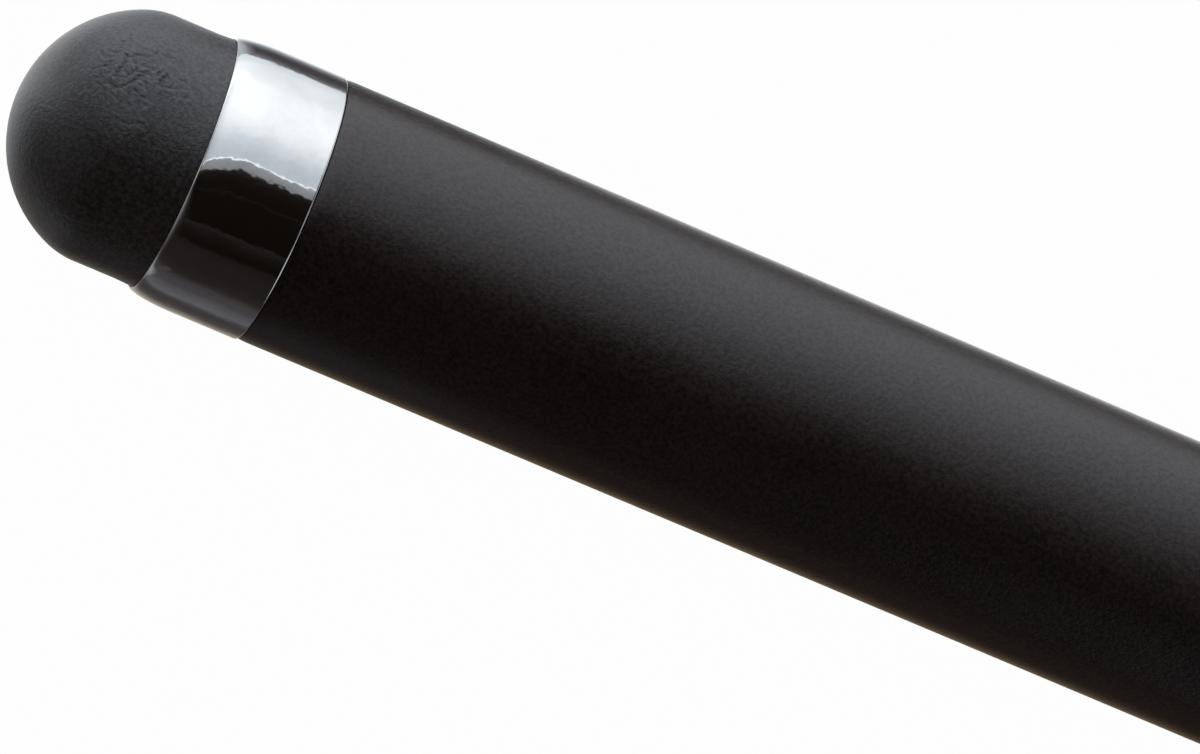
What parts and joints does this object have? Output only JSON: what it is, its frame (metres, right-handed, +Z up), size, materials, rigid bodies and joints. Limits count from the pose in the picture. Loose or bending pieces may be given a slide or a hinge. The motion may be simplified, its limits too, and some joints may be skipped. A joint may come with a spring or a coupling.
{
  "type": "stylus pen",
  "caption": "Slim stylus pen with a rubber touch dome in a polished ring, a matte black barrel, and a ballpoint under a pull-off cap with a pocket clip.",
  "frame": {"origin": "the touch dome's apex, on the pen's axis", "axes": "+X along the pen from the dome to the tail, +Z up; the pen lies on its rings and its clip's edge, clip on the -Y side"},
  "size_m": [0.1349, 0.01, 0.0086],
  "materials": {
    "conductive_rubber": "matte",
    "chrome": "polished",
    "soft_touch_black": "matte soft-touch paint",
    "brass": "turned",
    "black_plastic": "satin",
    "refill_plastic": "satin",
    "steel": "ground"
  },
  "bodies": {
    "barrel": {"barrel_tube": "soft_touch_black", "tip_core": "brass", "tip_ring": "chrome", "tip_bush": "brass", "barrel_bush": "brass", "centre_ring": "chrome", "pen_section": "black_plastic", "refill_holder": "black_plastic", "nose_cone": "chrome", "refill_tube": "refill_plastic", "refill_point": "brass"},
    "tip": {"stylus_dome": "conductive_rubber"},
    "ball": {"writing_ball": "steel"},
    "cap": {"cap_tube": "soft_touch_black", "cap_liner": "black_plastic", "cap_bush": "brass", "clip_collar": "chrome", "finial": "chrome"},
    "clip": {"pocket_clip": "chrome"}
  },
  "joints": [
    {"name": "dome_press", "type": "slide", "parent": "barrel", "child": "tip", "axis": [1, 0, 0], "range_m": [0, 0.0008], "stiffness_N_per_m": 700},
    {"name": "cap_pull", "type": "slide", "parent": "barrel", "child": "cap", "axis": [1, 0, 0], "range_m": [0, 0.045]},
    {"name": "clip_flex", "type": "hinge", "parent": "cap", "child": "clip", "pos_m": [0.12979, -0.0036, -0.00231], "axis": [0, -0.5391, 0.8423], "range_deg": [0, 3], "stiffness_Nm_per_rad": 2},
    {"name": "ball_roll", "type": "hinge", "parent": "barrel", "child": "ball", "pos_m": [0.12159, 0, 0], "axis": [0, 1, 0], "continuous": true}
  ]
}
